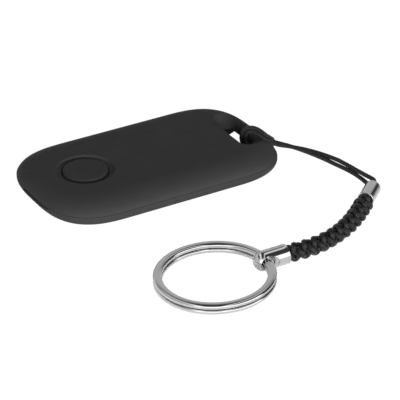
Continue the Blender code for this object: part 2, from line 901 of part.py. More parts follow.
def strap():
    path = cord_path()
    bend = path_point(path, 0.5)
    weave = braid_path()
    splits = [path_point(weave, share) for share in BRAID_SPLITS]
    eye = eye_centre()
    swing = pivot("cord_swing_pivot", CORD_START)
    turn = pivot("cord_bend_pivot", bend, swing)
    upper = pivot("braid_upper_pivot", splits[0], turn)
    lower = pivot("braid_lower_pivot", splits[1], upper)
    ring = pivot("ring_pivot", eye, lower)
    hitch()
    cords(swing, turn)
    ferrule(turn, bend)
    braid((turn, bend), upper, lower, splits)
    end_cap(lower, splits[1])
    split_ring(ring, eye)


def main():
    clear_scene()
    upper_shell()
    back_cover(pivot("cover_pivot", (0, 0, 0)))
    button(pivot("button_pivot", (BUTTON_X, 0, BUTTON_TOP_Z)))
    switch_base()
    circuit_board()
    board_parts()
    coin_cell(pivot("cell_pivot", (CELL_X, 0, CELL_BOTTOM)))
    contacts()
    buzzer()
    strap()


main()
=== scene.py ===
"""Looks for the tracker tag and its key strap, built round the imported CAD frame.

Mesh code here works in millimetres in the CAD's frame; MM turns them into Blender's metres.
"""

import json
from math import asin, copysign, cos, pi, radians, sin, tau

import bmesh
import bpy
import numpy as np
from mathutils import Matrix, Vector


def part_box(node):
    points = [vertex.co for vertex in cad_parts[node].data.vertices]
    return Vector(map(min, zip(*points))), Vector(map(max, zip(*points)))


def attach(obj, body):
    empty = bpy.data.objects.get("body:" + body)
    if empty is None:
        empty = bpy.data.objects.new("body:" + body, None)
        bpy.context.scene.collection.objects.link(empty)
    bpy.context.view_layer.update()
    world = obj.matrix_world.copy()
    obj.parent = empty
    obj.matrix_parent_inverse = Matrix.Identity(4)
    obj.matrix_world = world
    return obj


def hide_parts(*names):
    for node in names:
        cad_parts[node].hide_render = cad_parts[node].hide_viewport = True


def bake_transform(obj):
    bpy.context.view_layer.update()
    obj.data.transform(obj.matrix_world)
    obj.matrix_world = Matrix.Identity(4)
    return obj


MM = 0.001

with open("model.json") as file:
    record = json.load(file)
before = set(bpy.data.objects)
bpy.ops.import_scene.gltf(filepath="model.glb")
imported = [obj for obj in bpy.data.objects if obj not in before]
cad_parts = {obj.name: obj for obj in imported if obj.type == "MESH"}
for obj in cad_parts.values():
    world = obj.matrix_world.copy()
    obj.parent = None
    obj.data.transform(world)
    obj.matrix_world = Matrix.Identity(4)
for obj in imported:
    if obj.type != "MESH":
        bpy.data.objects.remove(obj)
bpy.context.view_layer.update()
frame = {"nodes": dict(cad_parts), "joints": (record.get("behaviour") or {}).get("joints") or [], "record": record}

# Housing, as in the CAD
HALF_LENGTH = 28.1
HALF_WIDTH = 16.4
SIDE_ROUNDING = 6.0
LEFT_CORNER = 15.5
STRAP_CORNER = 14.5
CORNER_POWER = 2.8
PARTING_Z = 3.6
COVER_TOP = 3.57
WALL = 1.15
CAVITY_LEFT = -26.9
CAVITY_RIGHT = 18.6
CAVITY_CORNER = 10.0
CEILING_Z = 5.3
COVER_FLOOR = 1.0
TRAY_INSET = 0.8
TRAY_ROUNDING = 2.4
EDGE_ROUND = 0.04  # rounding of both edges at the parting line
HOLE_INNER_X = 20.0
BAR_X = 26.2
BAR_INNER_X = 24.6
BAR_OUTER_X = 28.0
BAR_BOTTOM = 2.5
BAR_EDGE = 1.1
BAR_ROOT_HALF = 5.9
NOTCH_HALF_BOTTOM = 7.4
NOTCH_HALF_TOP = 6.2
BOARD_POSTS = ((-21.5, -9.6), (-21.5, 9.6), (-4.6, -11.4), (-4.6, 11.4))

# Button
BUTTON_RADIUS = 5.0
BUTTON_RISE = 0.2  # above the CAD's button
BUTTON_ROUNDING = 0.6
BUTTON_DISH = 0.25
BUTTON_HOLE_RADIUS = 5.16
GROOVE_RADIUS = 6.25
GROOVE_FLOOR_Z = 5.85


def low_high(node):
    """A CAD node's box in millimetres."""
    low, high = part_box(node)
    return np.array(low) / MM, np.array(high) / MM


def joint_named(name):
    return next(joint for joint in frame["joints"] if joint["name"] == name)


def joint_point(name):
    return np.array(joint_named(name)["pos_m"]) / MM


TAG_HEIGHT = low_high("upper_shell")[1][2]
BUTTON_LOW, BUTTON_HIGH = low_high("button_cap")
BUTTON_X = (BUTTON_LOW[0] + BUTTON_HIGH[0]) / 2
BUTTON_TOP = BUTTON_HIGH[2] + BUTTON_RISE


# ---------------------------------------------------------------- mesh helpers


def new_object(name, points, faces, uvs=None, smooth=40):
    """A mesh object from points in millimetres; uvs is one pair per face corner."""
    mesh = bpy.data.meshes.new(name)
    mesh.from_pydata((np.asarray(points) * MM).tolist(), [], faces)
    if uvs is not None:
        layer = mesh.uv_layers.new(name="along_around")
        layer.data.foreach_set("uv", np.asarray(uvs, np.float32).ravel())
    mesh.shade_smooth()
    mesh.set_sharp_from_angle(angle=radians(smooth))
    made = bpy.data.objects.new(name, mesh)
    bpy.context.scene.collection.objects.link(made)
    return made


def skin(rings, close_rows=False, along=None):
    """Points, faces and face-corner UVs of a surface through equal rings, with end caps."""
    rings = np.asarray(rings, float)
    rows, count = rings.shape[:2]
    points = rings.reshape(-1, 3)
    if along is None:
        along = np.arange(rows + 1, dtype=float)
    faces = []
    uvs = []
    last = rows if close_rows else rows - 1
    for i in range(last):
        a = i * count
        b = ((i + 1) % rows) * count
        for j in range(count):
            k = (j + 1) % count
            faces.append((a + j, a + k, b + k, b + j))
            low = j / count
            high = (j + 1) / count
            uvs += [
                (along[i], low), (along[i], high),
                (along[i + 1], high), (along[i + 1], low),
            ]
    if not close_rows:
        faces.append(tuple(range(count))[::-1])
        faces.append(tuple(range((rows - 1) * count, rows * count)))
        uvs += [(0, 0)] * (2 * count)
    if signed_volume(points, faces) < 0:
        flipped = []
        turned_uvs = []
        start = 0
        for face in faces:
            flipped.append(face[::-1])
            turned_uvs += uvs[start:start + len(face)][::-1]
            start += len(face)
        faces, uvs = flipped, turned_uvs
    return points, faces, uvs


def signed_volume(points, faces):
    total = 0.0
    for face in faces:
        first = points[face[0]]
        for i in range(1, len(face) - 1):
            total += np.dot(first, np.cross(points[face[i]], points[face[i + 1]]))
    return total


def merged(surfaces):
    """Several skins as one set of points, faces and UVs."""
    points, faces, uvs = [], [], []
    start = 0
    for some_points, some_faces, some_uvs in surfaces:
        points.append(some_points)
        faces += [tuple(i + start for i in face) for face in some_faces]
        uvs += some_uvs
        start += len(some_points)
    return np.concatenate(points), faces, uvs


def cut(target, surface, operation="DIFFERENCE"):
    """Cuts or joins a closed surface, and applies the result at once."""
    helper = new_object("helper", surface[0], surface[1])
    modifier = target.modifiers.new("cut", "BOOLEAN")
    modifier.operation = operation
    modifier.object = helper
    modifier.solver = "EXACT"
    bpy.context.view_layer.update()
    graph = bpy.context.evaluated_depsgraph_get()
    mesh = bpy.data.meshes.new_from_object(target.evaluated_get(graph))
    target.modifiers.clear()
    target.data = mesh
    bpy.data.objects.remove(helper)


def clean(target, smooth=35, merge=0.002):
    """Merges what a cut left within merge millimetres, and sets the shading."""
    work = bmesh.new()
    work.from_mesh(target.data)
    bmesh.ops.remove_doubles(work, verts=work.verts, dist=merge * MM)
    bmesh.ops.recalc_face_normals(work, faces=work.faces)
    work.to_mesh(target.data)
    work.free()
    target.data.shade_smooth()
    target.data.set_sharp_from_angle(angle=radians(smooth))
    flat = target.modifiers.new("flat", "WEIGHTED_NORMAL")
    flat.keep_sharp = True


def outline(x_span, y_span, radii, z, steps=24, power=2.0):
    """A rectangle with its own radius at each corner, anticlockwise from its +X, -Y corner."""
    (x_low, x_high), (y_low, y_high) = x_span, y_span
    corners = (
        (x_high, y_low, -1, 1),
        (x_high, y_high, -1, -1),
        (x_low, y_high, 1, -1),
        (x_low, y_low, 1, 1),
    )
    points = []
    for k, ((x, y, inwards_x, inwards_y), radius) in enumerate(zip(corners, radii)):
        for i in range(steps + 1):
            angle = (k - 1 + i / steps) * pi / 2
            out_x = copysign(abs(cos(angle)) ** (2 / power), cos(angle))
            out_y = copysign(abs(sin(angle)) ** (2 / power), sin(angle))
            points.append((x + radius * (inwards_x + out_x), y + radius * (inwards_y + out_y), z))
    return points


def rounded_outline(x_low, x_high, half_width, radius, z, steps=24):
    return outline((x_low, x_high), (-half_width, half_width), [radius] * 4, z, steps)


def tag_outline(inset, z):
    half = HALF_LENGTH - inset
    wide = HALF_WIDTH - inset
    near = STRAP_CORNER - inset
    far = LEFT_CORNER - inset
    return outline((-half, half), (-wide, wide), (near, near, far, far), z, 36, CORNER_POWER)


def cavity_outline(inset, z):
    return rounded_outline(
        CAVITY_LEFT + inset,
        CAVITY_RIGHT - inset,
        HALF_WIDTH - WALL - inset,
        CAVITY_CORNER - inset,
        z,
        12,
    )


def tray_outline(inset, z):
    return rounded_outline(
        CAVITY_LEFT + TRAY_INSET + inset,
        CAVITY_RIGHT - TRAY_INSET,
        HALF_WIDTH - WALL - TRAY_INSET - inset,
        CAVITY_CORNER - TRAY_INSET - inset,
        z,
        12,
    )


def circle(x, y, z, radius, count):
    angles = np.arange(count) * tau / count
    ring = np.empty((count, 3))
    ring[:, 0] = x + radius * np.cos(angles)
    ring[:, 1] = y + radius * np.sin(angles)
    ring[:, 2] = z
    return ring


def turned(x, y, profile, count=96):
    """A solid of revolution about the vertical through (x, y)."""
    return skin([circle(x, y, z, radius, count) for radius, z in profile])


def arc(centre, radius, start, end, steps):
    """(r, z) points along a circular arc, angles in degrees from outwards."""
    points = []
    for i in range(steps + 1):
        angle = radians(start + (end - start) * i / steps)
        points.append((centre[0] + radius * cos(angle), centre[1] + radius * sin(angle)))
    return points


def axial(start, end, profile, count=96):
    """A turned solid on the line start to end; profile is (distance along it, radius)."""
    along = unit(end - start)
    side = unit(np.cross(along, (0, 0, 1)))
    up = np.cross(side, along)
    angles = np.arange(count) * tau / count
    ring = np.outer(np.cos(angles), side) + np.outer(np.sin(angles), up)
    rings = [start + distance * along + radius * ring for distance, radius in profile]
    return skin(rings, along=np.array([distance for distance, _ in profile] + [0.0]))


def unit(vector):
    return np.asarray(vector, float) / np.linalg.norm(vector)


def bezier(start, lead_in, lead_out, end, count):
    t = np.linspace(0, 1, count + 1)[:, None]
    s = 1 - t
    return s**3 * start + 3 * s * s * t * lead_in + 3 * s * t * t * lead_out + t**3 * end


def catmull_rom(points, step):
    """The curve from the second point to the last but one, in equal steps."""
    dense = []
    for a, b, c, d in zip(points, points[1:], points[2:], points[3:]):
        for t in np.linspace(0, 1, 24, endpoint=False):
            dense.append(
                0.5 * (2 * b + (c - a) * t + (2 * a - 5 * b + 4 * c - d) * t * t
                       + (3 * b - a - 3 * c + d) * t**3)
            )
    dense.append(points[-2])
    return resampled(np.array(dense), step)


def spline(points, step):
    """A curve through all points."""
    return catmull_rom(
        np.vstack([2 * points[0] - points[1], points, 2 * points[-1] - points[-2]]), step
    )


def closed_spline(points, step):
    """A closed curve through all points, its last point short of its first."""
    return catmull_rom(np.vstack([points[-1:], points, points[:2]]), step)[:-1]


def lengths_of(path):
    return np.concatenate([[0], np.cumsum(np.linalg.norm(np.diff(path, axis=0), axis=1))])


def resampled(path, step):
    """The same curve in equal steps."""
    length = lengths_of(path)
    count = max(2, int(round(length[-1] / step)) + 1)
    at = np.linspace(0, length[-1], count)
    return np.stack([np.interp(at, length, path[:, i]) for i in range(3)], axis=1)


def tangents(path):
    ahead = np.gradient(path, axis=0)
    return ahead / np.linalg.norm(ahead, axis=1)[:, None]


def carried_frames(path):
    """Side and up at each point of a path, carried along it without twisting."""
    along = tangents(path)
    side = unit(np.cross(along[0], (0, 0, 1)))
    sides = [side]
    for direction in along[1:]:
        side = unit(side - direction * np.dot(side, direction))
        sides.append(side)
    sides = np.array(sides)
    return sides, np.cross(sides, along)


def smoothstep(value):
    value = np.clip(value, 0.0, 1.0)
    return value * value * (3 - 2 * value)


# ---------------------------------------------------------------- housing


def side_rings(low, high, steps):
    """The tag's outlines between two heights; its side is half an ellipse, widest half-way up."""
    half = TAG_HEIGHT / 2
    start = asin(low / half - 1)
    end = asin(high / half - 1)
    rings = []
    for i in range(steps + 1):
        angle = start + (end - start) * i / steps
        rings.append(tag_outline(SIDE_ROUNDING * (1 - cos(angle)), half + half * sin(angle)))
    return rings


def quarter_rings(plan, rounding, rise, base_z, steps):
    """Outlines up (or down) a quarter ellipse from its widest section."""
    rings = []
    for i in range(steps + 1):
        angle = i * pi / 2 / steps
        rings.append(plan(rounding * (1 - cos(angle)), base_z + rise * sin(angle)))
    return rings


def edge_rings(base_z, direction):
    """The small rounding beside the parting line; direction is away from the line."""
    rings = []
    for angle in (0, pi / 8, pi / 4, pi * 3 / 8):
        height = base_z + direction * EDGE_ROUND * (1 - cos(angle))
        rings.append(tag_outline(EDGE_ROUND * (1 - sin(angle)), height))
    return rings


def upper_shell():
    rings = edge_rings(PARTING_Z, 1)
    rings += side_rings(PARTING_Z + EDGE_ROUND, TAG_HEIGHT, 30)
    points, faces, _ = skin(rings)
    shell = new_object("upper_shell_fine", points, faces)
    rise = CEILING_Z - PARTING_Z
    inside = quarter_rings(cavity_outline, SIDE_ROUNDING - WALL, rise, PARTING_Z, 12)
    cut(shell, skin([cavity_outline(0, PARTING_Z - 0.5)] + inside))
    cut(shell, strap_hole())
    cut(shell, bar_root(), "UNION")
    cut(shell, turned(BUTTON_X, 0, opening_profile(), 128))
    for x, y in BOARD_POSTS:
        cut(shell, turned(x, y, post_profile(), 32), "UNION")
    clean(shell)
    return shell


def opening_profile():
    """Cuts the button's hole and the sloped groove round it, both with eased rims."""
    profile = [(BUTTON_HOLE_RADIUS, CEILING_Z - 1)]
    profile += arc((BUTTON_HOLE_RADIUS + 0.12, GROOVE_FLOOR_Z - 0.12), 0.12, 180, 90, 4)
    profile += arc((GROOVE_RADIUS - 0.3, GROOVE_FLOOR_Z + 0.32), 0.28, -80, -10, 5)
    profile += arc((GROOVE_RADIUS + 0.3, TAG_HEIGHT - 0.3), 0.31, 172, 96, 7)
    profile.append((GROOVE_RADIUS + 0.32, TAG_HEIGHT + 0.5))
    return profile


def post_profile():
    return (
        (0.5, 2.35), (0.5, 3.45), (1.1, 3.45), (1.1, CEILING_Z + 0.15),
    )


def strap_hole():
    """A slot with a scooped far end, eased into the top and rounded over the bar."""
    inner = BAR_INNER_X
    sections = np.array((
        (1.0, HOLE_INNER_X, inner, 5.0, 5.0, 1.9, 2.2),
        (3.0, HOLE_INNER_X, inner, 5.0, 5.0, 1.9, 2.2),
        (3.6, HOLE_INNER_X, inner, 5.1, 5.1, 1.9, 2.3),
        (4.4, HOLE_INNER_X, inner + 0.08, 5.7, 5.7, 1.9, 2.4),
        (5.0, HOLE_INNER_X, inner + 0.3, 6.4, 6.4, 1.9, 2.8),
        (5.5, HOLE_INNER_X, inner + 0.75, 7.0, 7.0, 2.0, 3.4),
        (5.9, HOLE_INNER_X - 0.05, inner + 1.4, 7.5, 7.5, 2.0, 4.0),
        (6.25, HOLE_INNER_X - 0.2, inner + 2.0, 8.2, 8.0, 2.1, 4.4),
        (6.46, HOLE_INNER_X - 0.5, inner + 2.4, 8.7, 8.3, 2.3, 4.6),
        (7.6, HOLE_INNER_X - 0.5, inner + 2.4, 8.7, 8.3, 2.3, 4.6),
    ))
    heights = np.concatenate([[1.0], np.linspace(3.0, 6.46, 27), [7.6]])
    table = [np.interp(heights, sections[:, 0], sections[:, i]) for i in range(1, 7)]
    rings = []
    for low_x, high_x, near, far, corner, scoop, z in zip(*(softened(c) for c in table), heights):
        beside = min(3.2, high_x - low_x - scoop - 0.05)
        radii = (beside, beside, scoop, corner)
        rings.append(outline((low_x, high_x), (-near, far), radii, z, 16))
    return skin(rings)


def softened(column, passes=3):
    """Evens out the kinks of a piecewise straight profile, but keeps its ends."""
    column = column.copy()
    for _ in range(passes):
        column[2:-2] = (column[1:-3] + 2 * column[2:-2] + column[3:-1]) / 4
    return column


def bar_root():
    """The strap bar's lower half, which stands in the back cover's notch."""
    ring = [(BAR_OUTER_X - 0.2, PARTING_Z + 0.3), (BAR_INNER_X + 0.2, PARTING_Z + 0.3)]
    ring.append((BAR_INNER_X, PARTING_Z))
    for centre, start in ((BAR_INNER_X + BAR_EDGE, 180), (BAR_OUTER_X - BAR_EDGE, 270)):
        ring += arc((centre, BAR_BOTTOM + BAR_EDGE), BAR_EDGE, start, start + 90, 12)
    ring.append((BAR_OUTER_X, PARTING_Z))
    return skin([[(x, y, z) for x, z in ring] for y in (-BAR_ROOT_HALF, BAR_ROOT_HALF)])


def back_cover():
    rings = side_rings(0.0, COVER_TOP - EDGE_ROUND, 30)
    rings += edge_rings(COVER_TOP, -1)[::-1]
    points, faces, _ = skin(rings)
    cover = new_object("back_cover_fine", points, faces)
    cut(cover, skin([cavity_outline(0.2, COVER_TOP - z) for z in (0.6, -0.38)]), "UNION")
    tray = quarter_rings(tray_outline, TRAY_ROUNDING, COVER_FLOOR - COVER_TOP, COVER_TOP, 12)
    cut(cover, skin(tray[::-1] + [tray_outline(0, COVER_TOP + 1)]))
    cut(cover, bar_notch())
    cut(cover, pry_notch())
    clean(cover)
    return cover


def bar_notch():
    """The opening under the strap hole and the bar, wider towards the ground."""
    inner = HOLE_INNER_X - 0.3
    outer = HALF_LENGTH + 4
    rings = []
    for z in (-1.0, 5.0):
        half = NOTCH_HALF_BOTTOM + (NOTCH_HALF_TOP - NOTCH_HALF_BOTTOM) * z / PARTING_Z
        corners = ((inner, -half), (outer, -half), (outer, half), (inner, half))
        rings.append([(x, y, z) for x, y in corners])
    return skin(rings)


def pry_notch():
    """A slot under the upper shell's edge at the left end, for levering the cover off."""
    end = -HALF_LENGTH
    rings = []
    for below, depth in ((0.6, 0.2), (0.5, 0.4), (0.35, 0.52), (0.2, 0.6), (-1.0, 0.6)):
        span = (-6.6 - 0.2 * depth, 4.6 + 0.2 * depth)
        rings.append(outline((end - 2, end + depth), span, [0.4] * 4, COVER_TOP - below, 6))
    return skin(rings)


def button():
    """A flanged cap with a rounded rim and a shallow dish."""
    profile = [(1.5, 4.5), (1.5, 4.85), (5.9, 4.85), (5.9, 5.2), (BUTTON_RADIUS, 5.2)]
    rim = (BUTTON_RADIUS - BUTTON_ROUNDING, BUTTON_TOP - BUTTON_ROUNDING)
    profile += arc(rim, BUTTON_ROUNDING, 0, 84, 12)
    for share in (0.85, 0.8, 0.72, 0.6, 0.45, 0.3, 0.12):
        dish = BUTTON_DISH * smoothstep((0.92 - share) / 0.75)
        profile.append((BUTTON_RADIUS * share, BUTTON_TOP - dish))
    points, faces, _ = turned(BUTTON_X, 0, profile, 128)
    return new_object("button_cap_fine", points, faces, smooth=35)


# ---------------------------------------------------------------- strap

HITCH_SPINE = np.array((
    (28.7, -5.2, 3.0), (28.35, -5.9, 4.1), (27.3, -6.5, 5.1), (26.35, -6.2, 5.8),
    (25.85, -5.2, 6.3), (25.4, -4.1, 6.6), (24.8, -3.1, 6.65), (24.0, -2.3, 6.3),
    (23.5, -1.95, 5.4), (23.4, -1.85, 4.3), (23.7, -1.9, 3.2), (24.6, -2.2, 2.2),
    (26.0, -3.0, 1.8), (27.7, -4.0, 1.9), (28.6, -4.7, 2.3),
))
HITCH_CORD = 0.47
HITCH_SPREAD = 0.45  # half the distance between its two turns
HITCH_WEAVE = 0.10
HITCH_FACING = np.array((-0.65, -1.15, 0.5))  # leans the pair so that both of its turns show


def braided_ring(centre, side, up, radius, along, weave):
    """One ring of a braided cord, raised where its yarns pass over."""
    pitch, starts, depth = weave
    count = starts * 8
    angles = np.arange(count) * tau / count
    turn = tau * along / pitch
    raised = np.sin(turn + starts * angles) * np.sin(turn - starts * angles)
    reach = radius * (1 + depth * raised)
    return centre + np.outer(reach * np.cos(angles), side) + np.outer(reach * np.sin(angles), up)


def hitch():
    """Two turns of cord side by side round the bar, slack on its inner side."""
    spine = closed_spline(HITCH_SPINE, 0.12)
    surfaces = []
    length = lengths_of(np.vstack([spine, spine[:1]]))
    pitch = length[-1] / round(length[-1] / CORD_WEAVE[0])
    ahead = np.roll(spine, -1, axis=0) - np.roll(spine, 1, axis=0)
    for offset in (-HITCH_SPREAD, HITCH_SPREAD):
        rings = []
        for point, along, s in zip(spine, ahead, length):
            out = unit((point[0] - BAR_X, 0.0, point[2] - PARTING_Z)) + HITCH_FACING
            across = unit(np.cross(along, out))
            out = unit(np.cross(across, along))
            weave = (pitch, CORD_WEAVE[1], HITCH_WEAVE)
            centre = point + offset * across
            rings.append(braided_ring(centre, across, out, HITCH_CORD, s, weave))
        surfaces.append(skin(rings, True, length))
    return new_object("cord_hitch_fine", *merged(surfaces))


CORD_RADIUS = 0.46
CORD_WEAVE = (1.15, 4, 0.05)  # pitch, yarns each way, how far they stand out
CORD_LEADS = ((35.2, -12.9, 3.1), (37.9, -22.2, 2.9))
CORD_END = np.array((38.5, -30.0, 2.25))
CORD_HALF_INSIDE = 0.45  # half the distance between the cords inside the ferrule
FERRULE_TOP = np.array((38.1, -31.4, 2.1))
FERRULE_MOUTH = np.array((33.15, -35.6, 2.1))
FERRULE_RADIUS = 1.75
FERRULE_BORE = 1.45
FERRULE_SHOULDER = 0.75
CAP_MOUTH = np.array((6.7, -45.78, 2.1))
CAP_RADIUS = 2.1
CAP_BORE = 1.6
EYE_RADIUS = 1.5
EYE_WAIST = 2.0
EYE_ROUNDING = 0.75
EYE_TO_DOME = 0.5

# Share of the way along, angle of the pair from level, half the distance between them
CORD_TWIST = (
    (0.0, 58, 0.40), (0.12, 33, 0.43), (0.23, 8, 0.43), (0.35, -15, 0.43), (0.47, -38, 0.47),
    (0.58, -57, 0.54), (0.7, -57, 0.47), (0.8, -57, 0.45), (0.9, -57, 0.56), (1.0, -57, 0.80),
)
CORD_SPLIT = 0.27


def cord_line():
    """The middle of the pair, from inside the hitch to inside the ferrule's closed end."""
    start = joint_point("cord_swing")
    run = bezier(start, *(np.array(lead) for lead in CORD_LEADS), CORD_END, 60)
    first = (np.array((28.75, -4.9, 3.35)), np.array((29.25, -5.5, 3.28)))
    inwards = unit(FERRULE_MOUTH - FERRULE_TOP)
    last = (FERRULE_TOP + 0.15 * inwards + (0.12, 0.3, 0), FERRULE_TOP + 1.3 * inwards)
    path = spline(np.vstack([first, run[::6], last]), 0.09)
    length = lengths_of(path)
    begin = length[np.argmin(np.linalg.norm(path - start, axis=1))]
    end = length[np.argmin(np.linalg.norm(path - CORD_END, axis=1))]
    return path, (length - begin) / (end - begin)


def cord_strand(sign):
    """One cord of the pair: its centre line, and the rings of its surface."""
    path, share = cord_line()
    sides, ups = carried_frames(path)
    twist = np.array(CORD_TWIST)
    angle = np.radians(np.interp(share, twist[:, 0], softened(twist[:, 1], 1)))
    half = np.interp(share, twist[:, 0], twist[:, 2])
    inside = smoothstep((share - 1.0) / 0.06)
    half = half * (1 - inside) + CORD_HALF_INSIDE * inside
    away = np.cos(angle)[:, None] * sides + np.sin(angle)[:, None] * ups
    centre = path + sign * half[:, None] * away
    sides, ups = carried_frames(centre)
    length = lengths_of(centre)
    rings = []
    for point, side, up, s in zip(centre, sides, ups, length):
        rings.append(braided_ring(point, side, up, CORD_RADIUS, s, CORD_WEAVE))
    return centre, share, np.array(rings), length


def cords():
    """Each cord in two pieces: one at the housing, one running on to the ferrule."""
    made = []
    for name, sign in (("near", 1), ("far", -1)):
        centre, share, rings, length = cord_strand(sign)
        at = int(np.argmin(np.abs(share - CORD_SPLIT)))
        early = skin(rings[:at + 1], along=length[:at + 2])
        late = skin(rings[at:], along=np.append(length[at:], length[-1]))
        first = new_object(f"cord_{name}_at_housing", *early)
        second = new_object(f"cord_{name}_to_ferrule", *late)
        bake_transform(first)
        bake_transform(second)
        made += [first, second]
    return made


def span(centre, along, before, after):
    """The two ends, in metres, of a stretch round a centre point."""
    return tuple((centre - before * along) * MM), tuple((centre + after * along) * MM)


def turned_wall(name, start, end, profile, count=128):
    """A hollow turned body from its closed (distance, radius) profile."""
    along = unit(end - start)
    side = unit(np.cross(along, (0, 0, 1)))
    up = np.cross(side, along)
    columns = []
    for angle in np.arange(count) * tau / count:
        out = cos(angle) * side + sin(angle) * up
        columns.append([start + distance * along + radius * out for distance, radius in profile])
    points, faces, uvs = skin(columns, True, np.linspace(0, 1, count + 1))
    return new_object(name, points, faces, uvs, 50)


def ferrule():
    """A drawn sleeve: closed, rounded end for the cords, rolled mouth for the braid."""
    length = np.linalg.norm(FERRULE_MOUTH - FERRULE_TOP)
    wall = FERRULE_RADIUS - FERRULE_BORE
    lip = wall / 2
    profile = [(0.0, 0.95)]
    for i in range(9):
        angle = radians(90 - i * 90 / 8)
        profile.append((
            FERRULE_SHOULDER * (1 - sin(angle)),
            FERRULE_RADIUS - FERRULE_SHOULDER + FERRULE_SHOULDER * cos(angle),
        ))
    profile += [(length * share, FERRULE_RADIUS) for share in (0.3, 0.5, 0.7, 0.9)]
    profile.append((length - 0.32, FERRULE_RADIUS))
    profile.append((length - 0.22, FERRULE_RADIUS + 0.05))
    for i in range(7):
        angle = radians(90 - i * 30)
        profile.append((
            length - lip + lip * cos(angle),
            FERRULE_BORE + lip + lip * sin(angle) + 0.05 * (1 - i / 6),
        ))
    profile += [(length * 0.5, FERRULE_BORE), (0.8, FERRULE_BORE), (0.55, 1.15), (0.3, 0.95)]
    return turned_wall("cord_ferrule_fine", FERRULE_TOP, FERRULE_MOUTH, profile)


BRAID_TURN = pi / 2.45  # how far a strand goes round, per millimetre of braid
BRAID_MEAN = 1.06  # a strand's distance from the middle, and how far it weaves in and out
BRAID_SWAY = 0.56
BRAID_STRAND = (0.63, 0.56)  # half width and half thickness of a strand
BRAID_CORE = 0.95
BRAID_SPLIT = 0.505  # share of the way along where its two pieces meet
BRAID_TUCK = 1.6  # how far it goes into each sleeve
BRAID_NECK = 0.66  # its share of full size inside the sleeves
BRAID_LEAD_IN = 11.0


def braid_line():
    """The braid's centre line, with its ends inside the two sleeves."""
    straight = unit(FERRULE_MOUTH - FERRULE_TOP)
    lead_in = FERRULE_MOUTH + BRAID_LEAD_IN * straight + (0, -0.6, 0)
    lead_out = CAP_MOUTH + (10.0, -1.7, 0)
    run = bezier(FERRULE_MOUTH, lead_in, lead_out, CAP_MOUTH, 200)
    ahead = unit(run[1] - run[0])
    behind = unit(run[-1] - run[-2])
    path = np.vstack([run[:1] - BRAID_TUCK * ahead, run, run[-1:] + BRAID_TUCK * behind])
    return resampled(path, 0.1)


def braid_pieces():
    """Four strands round a core, in two pieces, one by the ferrule and one by the end cap."""
    path = braid_line()
    sides, ups = carried_frames(path)
    length = lengths_of(path)
    total = length[-1]
    distance = np.minimum(length - BRAID_TUCK, total - BRAID_TUCK - length)
    scale = BRAID_NECK + (1 - BRAID_NECK) * smoothstep((distance + 0.25) / 1.3)
    at = int(round(BRAID_SPLIT * len(path)))
    halves = ([], [])
    for direction in (1, -1):
        for start in (0.0, pi):
            angle = direction * (BRAID_TURN * length) + pi / 2 + start
            sway = direction * np.cos(2 * BRAID_TURN * length)
            reach = (BRAID_MEAN + BRAID_SWAY * sway) * scale
            out = np.cos(angle)[:, None] * sides + np.sin(angle)[:, None] * ups
            centre = path + reach[:, None] * out
            along = tangents(centre)
            rings = []
            for point, way, outward, size in zip(centre, along, out, scale):
                outward = unit(outward - way * np.dot(outward, way))
                across = np.cross(way, outward)
                rings.append(strand_ring(point, across, outward, size))
            strand_length = lengths_of(centre)
            rings = np.array(rings)
            halves[0].append(skin(rings[:at + 1], along=strand_length[:at + 2]))
            halves[1].append(
                skin(rings[at:], along=np.append(strand_length[at:], strand_length[-1]))
            )
    core = [circle_at(*place, BRAID_CORE) for place in zip(path, sides, ups)]
    halves[0].append(skin(core[:at + 1], along=length[:at + 2]))
    halves[1].append(skin(core[at:], along=np.append(length[at:], length[-1])))
    made = []
    names = ("braid_by_ferrule", "braid_by_end_cap")
    joints = (
        ("braid_bend_upper", "ferrule", "braid"),
        ("braid_bend_lower", "braid", "end_cap"),
    )
    for name, half, (joint, parent, child) in zip(names, halves, joints):
        piece = new_object(name, *merged(half), smooth=60)
        point = joint_point(joint)
        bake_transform(piece)
        made.append(piece)
    return made


def circle_at(centre, side, up, radius, count=16):
    angles = np.arange(count) * tau / count
    return centre + radius * (np.outer(np.cos(angles), side) + np.outer(np.sin(angles), up))


def strand_ring(centre, across, outward, size, count=24):
    """A slightly flattened bundle of yarn."""
    angles = np.arange(count) * tau / count
    wide, thick = BRAID_STRAND
    x = wide * size * np.cos(angles)
    y = thick * size * np.sin(angles)
    return centre + np.outer(x, across) + np.outer(y, outward)


